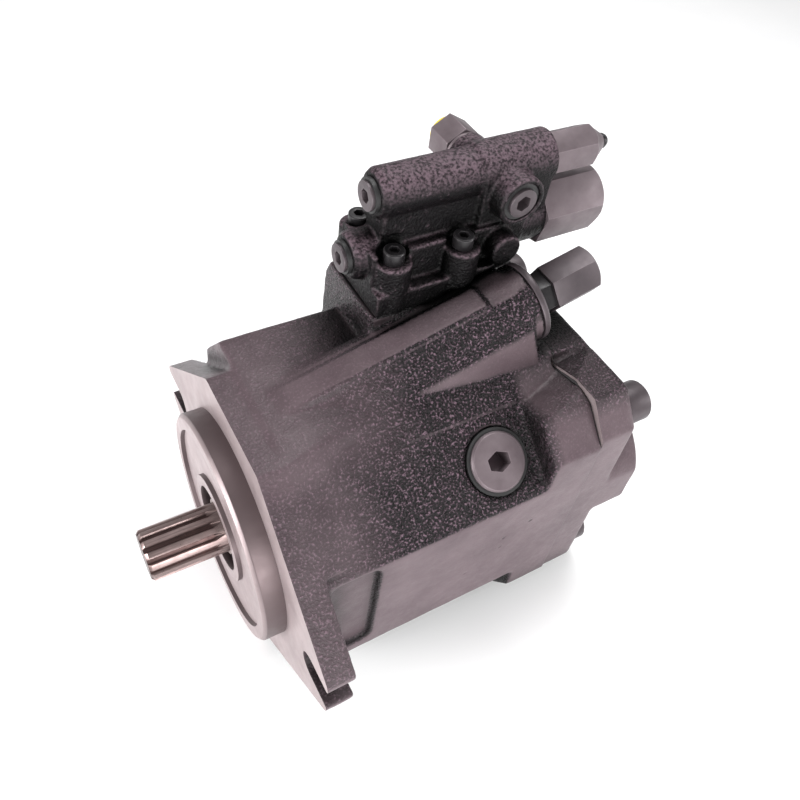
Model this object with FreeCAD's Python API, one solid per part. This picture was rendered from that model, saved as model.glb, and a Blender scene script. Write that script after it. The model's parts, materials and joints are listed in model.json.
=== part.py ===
"""Axial piston pump, variable displacement, with a two-bolt flange and a flow/pressure control valve.

Millimetres.  +X runs rearwards along the drive shaft, +Y along the flange ears, +Z up to the control
valve.  The origin is the centre of the pilot on the mounting face.  The swashplate is drawn square to
the shaft (zero displacement).
"""
import FreeCAD, Part
import math
import os

V = FreeCAD.Vector

# ---- mounting flange -----------------------------------------------------------------------------
PILOT_R = 50.8
PILOT_LENGTH = 9.7
FLANGE_THICK = 12.0
RAMP_END = 34.0              # where the flange's flanks have run out into the body
BOLT_HALF_SPACING = 73.0
SLOT_WIDTH = 14.3
EAR_HALF_SPAN = 87.0
FLANGE_HALF_HEIGHT = 65.0
EAR_TIP_HALF = 11.0
FACE_GROOVE = 1.2              # radial width of the relief at the pilot's foot

# ---- housing -------------------------------------------------------------------------------------
HALF_WIDTH = 60.0
HALF_HEIGHT = 66.0
BLOCK_START = 113.6          # the square rear block of the casting
HOUSING_END = 136.0
GASKET = 0.5
CAVITY_R = 48.0
CAVITY_START = 26.0
SLOPE_NORMAL = (-0.622, 0.783)     # (y, z) of the flat that carries the upper drain plug
SHOULDER_NORMAL = (-0.279, 0.300, 0.912)
BLOCK_BEVEL = 2.5

# ---- port plate ----------------------------------------------------------------------------------
PLATE_START = HOUSING_END + GASKET
PLATE_END = 155.0
PORT_FACE = 172.0
SCREW_Y = 46.0
SCREW_Z = 49.5
PLATE_SCREW_R = 6.0
SUCTION_Y = -27.0
SUCTION_R = 12.7
SUCTION_BOLTS = (26.2, 52.4)
SUCTION_THREAD_R = 5.0
PRESSURE_Y = 27.0
PRESSURE_R = 9.5
PRESSURE_BOLTS = (22.2, 47.6)
PRESSURE_THREAD_R = 5.0
PORT_THREAD_DEPTH = 15.0

# ---- shaft and bearings --------------------------------------------------------------------------
SHAFT_START = -41.0
SPLINE_END = -8.0
SPLINE_TEETH = 13
SPLINE_R = 11.0
SPLINE_ROOT_R = 9.5
COLLAR_R = 12.5
SHAFT_R = 11.0
REAR_JOURNAL_R = 8.5
SHAFT_END = 149.0
SEAL_BORE_R = 19.0
RUNNING_FIT = 0.05
BEARING_ANGLE = 12.0
ROLLER_CLEARANCE = 0.3

# ---- rotating group ------------------------------------------------------------------------------
PISTONS = 9
PITCH_R = 27.5
PISTON_R = 7.5
BLOCK_X0 = 84.0
BLOCK_X1 = 131.9
BLOCK_R = 39.0
VALVE_PLATE_X0 = 132.0
KIDNEY_R0 = 23.5
KIDNEY_R1 = 31.5
BALL_X = 60.5                # centre of the slipper balls
RETAINING_BALL_R = 18.4

# ---- swashplate ----------------------------------------------------------------------------------
TILT_X = 52.0                # tilt axis, parallel to Y, in the running face
SWASH_R = 40.0
SWASH_THICK = 12.0
CRADLE_R = 26.0
CRADLE_SHELL = (26.1, 28.0)
CRADLE_Y = (24.0, 46.0)
ARM_SOCKET = (58.0, 3.0, 50.0)

# ---- stroking piston on its inclined axis --------------------------------------------------------
STROKE_INCLINE = 15.0        # degrees, rising rearwards
STROKE_Y = 3.0
STROKE_OFFSET = 40.2         # square distance from the shaft axis' plane
STROKE_BOSS_R = 17.5
STROKE_BORE_R = 10.0
STROKE_END = 147.0           # rear face of the boss, along the incline
ROD_BALL_R = 5.0
ROD_R = 3.2
ROD_END_S = 114.3            # ball of the rod in the stroking piston, along the incline

# ---- bias spring ---------------------------------------------------------------------------------
BIAS_Z = -50.0

# ---- control valve -------------------------------------------------------------------------------
VALVE_Y = 32.0
UPPER_Z = 126.7
LOWER_Z = 101.0
VALVE_BOTTOM = 83.3
VALVE_SEAT_TOP = 82.8
VALVE_END = 148.0
UPPER_FRONT = 70.5
LOWER_FRONT = 61.0
FLOW_SLEEVE_END = 177.5
FLOW_SCREW_R = 2.5
PRESSURE_SCREW_R = 4.0
SPOOL_R = 4.0
SPOOL_FIT = 0.04
VALVE_SCREWS = ((75.0, 19.5), (105.0, 17.5), (73.0, 44.5), (105.0, 44.5))
VALVE_SCREW_SEAT = 104.5
SIDE_PLUG = (126.6, 121.5)
LOWER_BOSS = (123.5, 100.0)
FITTING = (119.5, 125.8)
PLUG_THREAD_R = 5.35

SIN_I = math.sin(math.radians(STROKE_INCLINE))
COS_I = math.cos(math.radians(STROKE_INCLINE))
INCLINE = V(COS_I, 0, SIN_I)
X_DIR = V(1, 0, 0)
Y_DIR = V(0, 1, 0)
Z_DIR = V(0, 0, 1)


# ---- solids --------------------------------------------------------------------------------------
def box(x0, x1, y0, y1, z0, z1):
    return Part.makeBox(x1 - x0, y1 - y0, z1 - z0, V(x0, y0, z0))


def rod(start, direction, length, radius):
    return Part.makeCylinder(radius, length, start, direction)


def rod_x(x0, x1, radius, y=0.0, z=0.0):
    return rod(V(x0, y, z), X_DIR, x1 - x0, radius)


def rod_y(y0, y1, radius, x, z):
    return rod(V(x, y0, z), Y_DIR, y1 - y0, radius)


def rod_z(z0, z1, radius, x, y):
    return rod(V(x, y, z0), Z_DIR, z1 - z0, radius)


def tube_x(x0, x1, outer, inner, y=0.0, z=0.0):
    return rod_x(x0, x1, outer, y, z).cut(rod_x(x0 - 1, x1 + 1, inner, y, z))


def ball(centre, radius, axis=X_DIR):
    return Part.makeSphere(radius, centre, axis)


def join(shapes):
    first, *others = shapes
    return first.fuse(others).removeSplitter()


def turned(profile, centre=V(0, 0, 0), axis=X_DIR):
    """Solid turned about an axis from (distance along the axis, radius) points."""
    side = V(0, 1, 0) if abs(axis.y) < 0.5 else V(0, 0, 1)
    points = [centre + axis * along + side * radius for along, radius in profile]
    solid = Part.Face(Part.makePolygon(points + points[:1])).revolve(centre, axis, 360)
    return solid if solid.Volume > 0 else solid.reversed()


def hexagon(start, direction, length, across_flats, turn=0.0):
    """Hexagonal bar; with turn 0 a corner points along the bar's own reference direction."""
    direction = V(direction).normalize()
    reference = Y_DIR if abs(direction.y) < 0.9 else Z_DIR
    other = direction.cross(reference).normalize()
    corner_r = across_flats / math.sqrt(3)
    corners = []
    for k in range(6):
        angle = math.radians(60 * k + turn)
        outward = reference * math.cos(angle) + other * math.sin(angle)
        corners.append(start + outward * corner_r)
    return Part.Face(Part.makePolygon(corners + corners[:1])).extrude(direction * length)


def prism_x(outline, x0, x1):
    points = [V(x0, y, z) for y, z in outline]
    return Part.Face(Part.makePolygon(points + points[:1])).extrude(V(x1 - x0, 0, 0))


def coil(start, direction, length, mean_r, wire_r, turns):
    """Compression spring: round wire on a helix, its wire ending wire_r inside both ends."""
    height = length - 2 * wire_r
    path = Part.makeHelix(height / turns, height, mean_r)
    section = Part.Wire(Part.makeCircle(wire_r, V(mean_r, 0, 0), Y_DIR))
    spring = Part.Wire(path.Edges).makePipeShell([section], True, True)
    turn = FreeCAD.Rotation(Z_DIR, direction)
    spring.Placement = FreeCAD.Placement(start + direction * wire_r, turn)
    return spring


def ring_of(count, shape, phase=0.0):
    """Copies of a shape spaced evenly about the shaft."""
    copies = []
    for k in range(count):
        copy = shape.copy()
        copy.rotate(V(0, 0, 0), X_DIR, phase + 360.0 * k / count)
        copies.append(copy)
    return copies


def bevelled_disc(start, direction, length, radius, bevel):
    """Disc with its far rim bevelled, standing on `start`."""
    disc = rod(start, direction, length, radius)
    far = [e for e in disc.Edges if (e.CenterOfMass - start).dot(direction) > length - 0.01]
    return disc.makeChamfer(bevel, [e for e in far if e.Length > 1])


def mirror_y(shape):
    return shape.mirror(V(0, 0, 0), Y_DIR)


def on_incline(along, across=0.0):
    """Point of the stroking axis' plane, `along` the incline and `across` above the axis."""
    offset = STROKE_OFFSET + across
    return V(along * COS_I - offset * SIN_I, STROKE_Y, along * SIN_I + offset * COS_I)


def rod_incline(s0, s1, radius):
    return rod(on_incline(s0), INCLINE, s1 - s0, radius)


def prism_incline(outline, s0, s1):
    """Bar along the incline from (y, height above the stroking axis) points."""
    points = []
    for y, across in outline:
        point = on_incline(s0, across)
        point.y = y
        points.append(point)
    return Part.Face(Part.makePolygon(points + points[:1])).extrude(INCLINE * (s1 - s0))


def save(name, shapes):
    shape = shapes[0] if len(shapes) == 1 else Part.makeCompound(shapes)
    shape.exportStep("parts/" + name + ".step")


# ---- housing -------------------------------------------------------------------------------------
def flange_outline():
    """Flat at the top and bottom, with straight flanks down to the tips of the two ears."""
    right = [(25.0, FLANGE_HALF_HEIGHT), (EAR_HALF_SPAN, EAR_TIP_HALF),
             (EAR_HALF_SPAN, -EAR_TIP_HALF), (25.0, -FLANGE_HALF_HEIGHT)]
    return right + [(-y, z) for y, z in reversed(right)]


def mounting_flange():
    plate = prism_x(flange_outline(), 0.0, FLANGE_THICK)
    corners = [e for e in plate.Edges if abs(e.CenterOfMass.x - FLANGE_THICK / 2) < 0.1]
    plate = plate.makeFillet(4.0, [e for e in corners if abs(e.CenterOfMass.y) > 80])
    relief = tube_x(-1.0, 0.8, PILOT_R + FACE_GROOVE, PILOT_R - 2.0)
    pilot = turned([(-PILOT_LENGTH, 0), (-PILOT_LENGTH, PILOT_R - 1.5), (-PILOT_LENGTH + 1.5, PILOT_R),
                    (1.0, PILOT_R), (1.0, 0)])
    return [plate.cut(relief), pilot]


def flange_ramps():
    """The flange's flanks run out into the body without a step."""
    ramps = []
    for side in (1, -1):
        for up in (1, -1):
            outward = V(0, side * 0.66, up * 0.751)
            along = V(0, side * 0.751, -up * 0.66)
            middle = V(0, side * 42.0, up * 50.0)
            section = [V(FLANGE_THICK - 1, 0, 0), V(RAMP_END, 0, 0) - outward * 5.0,
                       V(RAMP_END, 0, 0) - outward * 20.0, V(FLANGE_THICK - 1, 0, 0) - outward * 20.0]
            points = [middle - along * 22.0 + corner for corner in section]
            ramps.append(Part.Face(Part.makePolygon(points + points[:1])).extrude(along * 44.0))
    return ramps


def drain_direction(lower):
    """Outward direction and face centre of a drain plug's flat."""
    if lower:
        normal = V(0, 26.5, -22.0).normalize()
        return normal, V(95.7, 49.0, -52.75)
    normal = V(0, *SLOPE_NORMAL).normalize()
    return normal, V(95.7, -44.4, 42.6)


def body_outline():
    return [(-HALF_WIDTH, -39.5), (-HALF_WIDTH, 30.0), (-18.5, 63.0), (-14.0, HALF_HEIGHT),
            (41.0, HALF_HEIGHT), (HALF_WIDTH, 44.0), (HALF_WIDTH, -39.5), (38.0, -HALF_HEIGHT),
            (-38.0, -HALF_HEIGHT)]


def block_outline(inset=0.0):
    """Square section with bevelled corners, shared by the rear block, the gasket and the port plate."""
    half_y = HALF_WIDTH - inset
    half_z = HALF_HEIGHT - 0.5 - inset
    right = [(30.0, half_z), (46.0, half_z - 4.0), (half_y, 47.5), (half_y, -53.0),
             (half_y - 9.0, -half_z)]
    return right + [(-y, z) for y, z in reversed(right)]


def plate_outline():
    half_y = HALF_WIDTH - 0.8
    half_z = HALF_HEIGHT - 1.3
    right = [(47.0, half_z), (half_y, 50.5), (half_y, -53.0), (half_y - 9.0, -half_z)]
    return right + [(-y, z) for y, z in reversed(right)]


def bulge_outline(grow=0.0):
    """Section of the stroking bulge: a flattish crown between two leaning flanks."""
    return [(-26.0 - grow, -34.0), (-16.0 - grow, 5.0 + grow), (-11.5 - grow, 12.0 + grow),
            (-4.0, 17.0 + grow), (12.0, 17.0 + grow), (17.0 + grow, 13.5 + grow),
            (21.5 + grow, 5.0), (27.0 + grow, -34.0)]


def bulge(s1, grow=0.0):
    crown = prism_incline(bulge_outline(grow), 24.0, s1 - 6.0)
    return join([crown, rod_incline(24.0, s1, STROKE_BOSS_R + grow)])


def bulge_panel():
    """Flat raised strip on the bulge's crown that stops short of its rear boss."""
    return prism_incline([(-6.0, 10.0), (-4.5, 19.0), (8.5, 19.0), (8.5, 10.0)], 30.0, 127.0)


def valve_seat():
    outline = [(13.0, 50.0), (13.0, VALVE_SEAT_TOP), (51.0, VALVE_SEAT_TOP), (54.5, 76.0), (56.0, 66.0),
               (56.5, 46.0)]
    return prism_x(outline, 64.5, 130.0)


def slope_ledge():
    """Low ledge along the foot of the stroking bulge, on the flank with the upper drain plug."""
    return prism_x([(-30.0, 52.0), (-28.5, 57.0), (-20.0, 62.6), (-15.0, 50.0)], 60.0, HOUSING_END - 1.0)


def shoulder_cut():
    """The casting falls away between the bulge and the rear block's corner on that flank."""
    fall = rod(V(114.0, -30.0, 55.0), V(*SHOULDER_NORMAL), 30.0, 45.0)
    return fall.common(box(100.0, PLATE_END + 1, -60.0, -19.0, 30.0, 90.0))


def rear_block():
    block = prism_x(block_outline(), BLOCK_START, HOUSING_END)
    front = [e for e in block.Edges if e.BoundBox.XMax < BLOCK_START + 0.01]
    block = block.makeChamfer(BLOCK_BEVEL, [e for e in front if e.CenterOfMass.z > 50.0])
    return block.cut(shoulder_cut())


def housing_outside():
    body = prism_x(body_outline(), FLANGE_THICK - 1.0, BLOCK_START + 1.0)
    parts = [body, rear_block(), slope_ledge(), bulge(STROKE_END), bulge_panel(), valve_seat()]
    return join(mounting_flange() + flange_ramps() + parts)


def flange_slots():
    cuts = []
    for side in (1, -1):
        inner = side * BOLT_HALF_SPACING
        cuts.append(rod_x(-1, FLANGE_THICK + 1, SLOT_WIDTH / 2, inner))
        y0, y1 = sorted((inner, side * (EAR_HALF_SPAN + 1)))
        cuts.append(box(-1, FLANGE_THICK + 1, y0, y1, -SLOT_WIDTH / 2, SLOT_WIDTH / 2))
    return cuts


def shaft_openings():
    """Seal bore, snap-ring groove, front bearing seat and the shallow ring recess in the pilot."""
    recess = tube_x(-PILOT_LENGTH - 1, -PILOT_LENGTH + 2.0, 44.0, 24.0)
    return [recess,
            rod_x(-PILOT_LENGTH - 1, 7, SEAL_BORE_R),
            tube_x(-5.7, -4.3, SEAL_BORE_R + 0.8, SEAL_BORE_R - 1),
            rod_x(6.0, CAVITY_START + 1, 26.0)]


def swash_room():
    """The main cavity, less the two saddles that carry the cradle bearings."""
    cavity = rod_x(CAVITY_START, HOUSING_END + 1, CAVITY_R)
    groove = rod_y(-CRADLE_Y[1], CRADLE_Y[1], CRADLE_SHELL[1] + 0.1, TILT_X, 0.0)
    grooves = []
    for y0, y1 in (CRADLE_Y, (-CRADLE_Y[1], -CRADLE_Y[0])):
        saddle = box(CAVITY_START - 1, 30.0, y0, y1, -20.0, 20.0)
        cavity = cavity.cut(saddle)
        grooves.append(groove.common(box(CAVITY_START - 4, 31.0, y0, y1, -24.0, 24.0)))
    return [cavity] + grooves


def stroking_room():
    """Inclined bore of the stroking piston and the room for its rod and the swashplate's upper arm."""
    return [rod_incline(52.0, 113.0, 11.0),
            rod_incline(112.0, STROKE_END + 1.0, STROKE_BORE_R + RUNNING_FIT),
            box(42.0, 96.0, STROKE_Y - 11.0, STROKE_Y + 11.0, 30.0, 62.0)]


def bias_room():
    return [rod_x(58.0, HOUSING_END + 1, 9.0, 0.0, BIAS_Z),
            box(CAVITY_START, 66.0, -10.0, 10.0, -60.0, -38.0)]


def drain_openings(lower):
    normal, centre = drain_direction(lower)
    spot_r, hole_r = (13.0, 8.0) if lower else (15.2, 10.0)
    spot = rod(centre - normal * 1.6, normal, 30.0, spot_r)
    return [spot, rod(centre - normal * 30.0, normal, 31.0, hole_r)]


def side_pockets():
    """Shallow hollows beside the flange that clear the bolt heads."""
    pocket = box(14.0, 35.0, -HALF_WIDTH - 1, -HALF_WIDTH + 3.0, -33.0, 28.0)
    edges = [e for e in pocket.Edges if abs(e.tangentAt(e.FirstParameter).y) > 0.99]
    pocket = pocket.makeFillet(5.0, edges)
    return [pocket, mirror_y(pocket)]


def valve_seat_holes():
    cuts = []
    for x, y in VALVE_SCREWS:
        cuts.append(rod_z(VALVE_SEAT_TOP - 12.0, VALVE_SEAT_TOP + 6.0, 2.5, x, y))
    return cuts


def plate_screw_places():
    return [(sy * SCREW_Y, sz * SCREW_Z) for sy in (1, -1) for sz in (1, -1)]


def pump_housing():
    cuts = flange_slots() + shaft_openings() + swash_room() + stroking_room() + bias_room()
    cuts += drain_openings(False) + drain_openings(True) + side_pockets() + valve_seat_holes()
    for y, z in plate_screw_places():
        cuts.append(rod_x(HOUSING_END - 19.0, HOUSING_END + 1, PLATE_SCREW_R + RUNNING_FIT, y, z))
    cuts.append(rod_incline(STROKE_END, 170.0, STROKE_BOSS_R + 0.4))
    return housing_outside().cut(cuts)


def port_plate_gasket():
    sheet = prism_x(block_outline(0.8), HOUSING_END, PLATE_START)
    cuts = [rod_x(HOUSING_END - 1, PLATE_START + 1, CAVITY_R),
            rod_x(HOUSING_END - 1, PLATE_START + 1, 9.0, 0.0, BIAS_Z),
            rod_incline(140.0, 170.0, STROKE_BOSS_R + 0.4),
            shoulder_cut()]
    for y, z in plate_screw_places():
        cuts.append(rod_x(HOUSING_END - 1, PLATE_START + 1, PLATE_SCREW_R + 0.5, y, z))
    return sheet.cut(cuts)


def kidney(side, x0, x1, half_angle=55.0):
    """Arc-shaped slot about the shaft, on the +Y (side 1) or the -Y (side -1) half."""
    mean_r = (KIDNEY_R0 + KIDNEY_R1) / 2
    end_r = (KIDNEY_R1 - KIDNEY_R0) / 2
    ring = tube_x(x0, x1, KIDNEY_R1, KIDNEY_R0)
    reach = 80.0
    a = math.radians(half_angle)
    wedge = prism_x([(0, 0), (side * reach * math.cos(a), -reach * math.sin(a)), (side * reach, 0),
                     (side * reach * math.cos(a), reach * math.sin(a))], x0, x1)
    ends = []
    for sign in (1, -1):
        ends.append(rod_x(x0, x1, end_r, side * mean_r * math.cos(a), sign * mean_r * math.sin(a)))
    return join([ring.common(wedge)] + ends)


def port_pad():
    pad = Part.Ellipse(V(0, 0, 0), 61.0, 44.0).toShape()
    pad = Part.Face(Part.Wire(pad)).extrude(V(0, 0, PORT_FACE - PLATE_END + 1))
    pad.Placement = FreeCAD.Placement(V(PLATE_END - 1, 0, 0), FreeCAD.Rotation(Y_DIR, Z_DIR, X_DIR, "ZXY"))
    return pad.common(box(PLATE_END - 2, PORT_FACE + 1, -HALF_WIDTH + 0.8, HALF_WIDTH - 0.8, -70, 70))


def port_bolt_places(centre_y, spacings):
    return [(centre_y + sy * spacings[0] / 2, sz * spacings[1] / 2) for sy in (1, -1) for sz in (1, -1)]


def port_plate():
    plate = prism_x(plate_outline(), PLATE_START, PLATE_END)
    rim_edges = [e for e in plate.Edges if e.BoundBox.XMin > PLATE_END - 0.01]
    plate = plate.makeChamfer(1.2, rim_edges)
    plate = join([plate, port_pad()])
    cuts = [rod_x(PLATE_START - 1, 150.0, 20.0),
            kidney(-1, PLATE_START - 1, 153.0),
            kidney(1, PLATE_START - 1, 153.0, 48.0),
            rod_x(152.0, PORT_FACE + 1, SUCTION_R, SUCTION_Y),
            rod_x(152.0, PORT_FACE + 1, PRESSURE_R, PRESSURE_Y),
            rod_incline(140.0, 190.0, STROKE_BOSS_R + 0.4),
            shoulder_cut()]
    for y, z in plate_screw_places():
        cuts.append(rod_x(PLATE_START - 1, PLATE_END + 1, PLATE_SCREW_R + 0.5, y, z))
    for y, z in port_bolt_places(SUCTION_Y, SUCTION_BOLTS):
        cuts.append(rod_x(PORT_FACE - PORT_THREAD_DEPTH, PORT_FACE + 1, SUCTION_THREAD_R, y, z))
    for y, z in port_bolt_places(PRESSURE_Y, PRESSURE_BOLTS):
        cuts.append(rod_x(PORT_FACE - PORT_THREAD_DEPTH, PORT_FACE + 1, PRESSURE_THREAD_R, y, z))
    return plate.cut(cuts)


def socket_screw(seat, direction, head_r, head_length, shank_r, shank_length, key):
    """Socket-head cap screw with its head's underside at `seat`, pointing back along `direction`."""
    head = bevelled_disc(seat, direction, head_length, head_r, head_r * 0.1)
    shank = rod(seat - direction * shank_length, direction, shank_length + 0.5, shank_r)
    socket = hexagon(seat + direction * (head_length * 0.45), direction, head_length, key)
    return join([head, shank]).cut(socket)


def port_plate_screws():
    screws = []
    for y, z in plate_screw_places():
        screws.append(socket_screw(V(PLATE_END, y, z), X_DIR, 9.0, 12.0, PLATE_SCREW_R, 34.0, 10.0))
    return screws


def drain_plug(lower):
    """Threaded plug with a flat round head in its spot face, and the ring that seals it."""
    normal, centre = drain_direction(lower)
    head_r, shank_r, key = (10.5, 7.95, 8.0) if lower else (12.5, 9.95, 10.0)
    seat = centre - normal * 1.6
    head = bevelled_disc(seat, normal, 3.0, head_r, 0.8)
    shank = rod(seat - normal * 9.5, normal, 10.0, shank_r)
    plug = join([head, shank]).cut(hexagon(seat - normal * 5.0, normal, 12.0, key))
    seal = rod(seat, normal, 1.4, head_r + 1.6).cut(rod(seat - normal, normal, 5.0, head_r + 0.02))
    return plug, seal


# ---- shaft, seal and bearings --------------------------------------------------------------------
def drive_shaft():
    core = turned([(SHAFT_START, 0), (SHAFT_START, SPLINE_R - 1.2), (SHAFT_START + 1.2, SPLINE_R),
                   (SPLINE_END, SPLINE_R), (SPLINE_END, COLLAR_R), (22.0, COLLAR_R), (22.0, 15.0),
                   (25.0, 15.0), (25.0, SHAFT_R), (137.2, SHAFT_R), (137.2, REAR_JOURNAL_R),
                   (SHAFT_END - 0.8, REAR_JOURNAL_R), (SHAFT_END, REAR_JOURNAL_R - 0.8), (SHAFT_END, 0)])
    # one tooth space: narrow at the root, wider at the outside, running out at the collar
    root_half = 0.75
    tip_half = 1.55
    space = prism_x([(SPLINE_ROOT_R, -root_half), (SPLINE_ROOT_R, root_half),
                     (SPLINE_R + 1, tip_half + 0.3), (SPLINE_R + 1, -tip_half - 0.3)],
                    SHAFT_START - 1, SPLINE_END - 5.0)
    foot = V(SPLINE_END - 5.0, SPLINE_ROOT_R + 1.5, 0)
    run_out = Part.makeCone(SPLINE_ROOT_R * 0.16, 0.3, 5.0, foot, X_DIR)
    return core.cut(ring_of(SPLINE_TEETH, space) + ring_of(SPLINE_TEETH, run_out))


def shaft_seal():
    return turned([(-3.8, COLLAR_R + RUNNING_FIT), (-3.8, SEAL_BORE_R - 0.02), (3.5, SEAL_BORE_R - 0.02),
                   (3.5, SEAL_BORE_R - 2.0), (-1.8, SEAL_BORE_R - 2.0), (-1.8, COLLAR_R + 2.0),
                   (2.0, COLLAR_R + 1.4), (2.0, COLLAR_R + RUNNING_FIT)])


def seal_snap_ring():
    ring = tube_x(-5.5, -4.4, SEAL_BORE_R + 0.6, SEAL_BORE_R - 2.2)
    return ring.cut(box(-7, -3, -3.0, 3.0, -30.0, 0.0))


def tapered_bearing(x0, x1, bore_r, outer_r, pitch_r, roller_r, count, slope_sign):
    """Cone, rollers and cup of a tapered roller bearing about the shaft."""
    middle = (x0 + x1) / 2
    angle = math.radians(BEARING_ANGLE)
    slope = slope_sign * math.tan(angle)
    reach = roller_r / math.cos(angle)

    def race(x, offset):
        return pitch_r + slope * (x - middle) + offset

    cone = turned([(x0, bore_r), (x0, race(x0, -reach)), (x1, race(x1, -reach)), (x1, bore_r)])
    gap = reach + ROLLER_CLEARANCE
    cup = turned([(x0, race(x0, gap)), (x0, outer_r), (x1, outer_r), (x1, race(x1, gap))])
    axis = V(math.cos(angle), slope_sign * math.sin(angle), 0)
    length = (x1 - x0) * 0.68
    roller = rod(V(middle, pitch_r, 0) - axis * (length / 2), axis, length, roller_r)
    return cone, ring_of(count, roller), cup


# ---- rotating group ------------------------------------------------------------------------------
def cylinder_block():
    block = rod_x(BLOCK_X0, BLOCK_X1, BLOCK_R)
    rims = [e for e in block.Edges if e.Length > 1 and len(e.Vertexes) == 1]
    block = block.makeChamfer(1.5, rims)
    bore = rod_x(BLOCK_X0 - 1, 126.0, PISTON_R + RUNNING_FIT, PITCH_R)
    slot = join([rod_x(125.0, BLOCK_X1 + 1, 3.4, PITCH_R * math.cos(a), PITCH_R * math.sin(a))
                 for a in (math.radians(9.0), math.radians(-9.0))]
                + [box(125.0, BLOCK_X1 + 1, PITCH_R - 3.4, PITCH_R + 3.0, -4.3, 4.3)])
    hub = [rod_x(BLOCK_X0 - 1, 119.0, 16.5), rod_x(118.0, BLOCK_X1 + 1, SHAFT_R)]
    return block.cut(ring_of(PISTONS, bore) + ring_of(PISTONS, slot) + hub)


def piston():
    """Piston with a necked ball that stands in its slipper, hollow behind."""
    crown = Part.makeCone(6.0, PISTON_R, 1.5, V(66.0, PITCH_R, 0), X_DIR)
    skirt = rod_x(67.5, 110.0, PISTON_R, PITCH_R).cut(rod_x(80.0, 111.0, 4.5, PITCH_R))
    neck = rod_x(BALL_X, 67.0, 3.0, PITCH_R)
    return join([crown, skirt, neck, ball(V(BALL_X, PITCH_R, 0), 5.0)])


def slipper():
    pad = join([rod_x(52.1, 55.5, 8.7, PITCH_R), rod_x(55.0, 64.0, 7.0, PITCH_R)])
    cone = Part.makeCone(3.2, 5.6, 4.5, V(BALL_X, PITCH_R, 0), X_DIR)
    recess = rod_x(51.0, 52.6, 5.0, PITCH_R)
    return pad.cut([ball(V(BALL_X, PITCH_R, 0), 5.0 + RUNNING_FIT), cone, recess])


def retaining_plate():
    plate = tube_x(55.6, 58.6, 37.5, 17.5)
    dish = ball(V(TILT_X, 0, 0), RETAINING_BALL_R + RUNNING_FIT)
    return plate.cut(ring_of(PISTONS, rod_x(54.0, 60.0, 7.4, PITCH_R)) + [dish])


def retaining_ball():
    dome = ball(V(TILT_X, 0, 0), RETAINING_BALL_R).common(rod_x(54.0, 65.0, 20.0))
    return dome.cut(rod_x(50.0, 70.0, SHAFT_R + 0.4))


def pressure_pins():
    return ring_of(3, rod_x(65.0, 92.0, 1.5, 14.0), 90.0)


def block_spring_washers():
    return [tube_x(105.2, 107.0, 16.2, SHAFT_R + 0.3), tube_x(117.2, 119.0, 16.2, SHAFT_R + 0.3)]


def valve_plate():
    plate = tube_x(VALVE_PLATE_X0, PLATE_START, BLOCK_R, 18.0)
    pin_hole = rod_x(PLATE_START - 2.5, PLATE_START + 1, 2.0, 0.0, -35.0)
    return plate.cut([kidney(-1, 130.0, 138.0), kidney(1, 130.0, 138.0, 48.0), pin_hole])


def valve_plate_pin():
    return rod_x(PLATE_START - 2.4, PLATE_START, 1.95, 0.0, -35.0)


# ---- swashplate and its actuators ----------------------------------------------------------------
def swashplate():
    disc = rod_x(TILT_X - SWASH_THICK, TILT_X, SWASH_R)
    back = TILT_X - SWASH_THICK + 1.0
    parts = [disc]
    for y0, y1 in ((CRADLE_Y[0] + 0.5, CRADLE_Y[1] - 6.8), (-CRADLE_Y[1] + 6.8, -CRADLE_Y[0] - 0.5)):
        lobe = rod_y(y0, y1, CRADLE_R, TILT_X, 0.0)
        parts.append(lobe.common(box(0.0, back, y0, y1, -40.0, 40.0)))
    ax, ay, az = ARM_SOCKET
    parts.append(box(ax - 12.0, TILT_X, ay - 9.0, ay + 9.0, 34.0, 57.0))
    parts.append(box(TILT_X - 1.0, ax, ay - 9.0, ay + 9.0, 42.5, 57.0))
    parts.append(box(ax - 12.0, TILT_X, -7.0, 7.0, -56.0, -34.0))
    parts.append(box(TILT_X - 1.0, ax, -7.0, 7.0, -56.0, -43.0))
    shaft_hole = rod_x(TILT_X - SWASH_THICK - 20, TILT_X + 1, 19.0)
    return join(parts).cut([shaft_hole, ball(V(ax, ay, az), ROD_BALL_R + 1.3)])


def cradle_bearings():
    shells = []
    for side in (1, -1):
        y0, y1 = sorted((side * (CRADLE_Y[0] + 0.3), side * (CRADLE_Y[1] - 0.3)))
        shell = rod_y(y0, y1, CRADLE_SHELL[1], TILT_X, 0.0)
        shell = shell.cut(rod_y(y0 - 1, y1 + 1, CRADLE_SHELL[0], TILT_X, 0.0))
        shells.append(shell.common(box(0.0, 29.6, y0, y1, -30.0, 30.0)))
    return shells


def stroking_piston():
    s0, s1 = 108.0, 130.0
    skirt = rod_incline(s0, s1, STROKE_BORE_R)
    mouth = rod_incline(s0 - 1, ROD_END_S, 7.4)
    return skirt.cut([mouth, ball(on_incline(ROD_END_S), ROD_BALL_R + 0.3, INCLINE)])


def stroking_rod():
    start = V(*ARM_SOCKET)
    end = on_incline(ROD_END_S)
    axis = end - start
    stem = rod(start, axis, axis.Length, ROD_R)
    return join([stem, ball(start, ROD_BALL_R, axis), ball(end, ROD_BALL_R, axis)])


def stroking_bore_cap():
    disc = bevelled_disc(on_incline(STROKE_END), INCLINE, 3.0, STROKE_BOSS_R, 0.8)
    return disc.cut(rod_incline(140.0, 152.0, 4.05))


def stop_screw():
    screw = rod_incline(142.2, 170.0, 4.0)
    return screw.cut(hexagon(on_incline(166.0), INCLINE, 5.0, 4.0))


def stop_lock_nut():
    flange = rod_incline(150.0, 152.5, 9.4)
    nut = hexagon(on_incline(152.0), INCLINE, 6.5, 17.0)
    return join([flange, nut]).cut(rod_incline(149.0, 160.0, 4.05))


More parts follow.
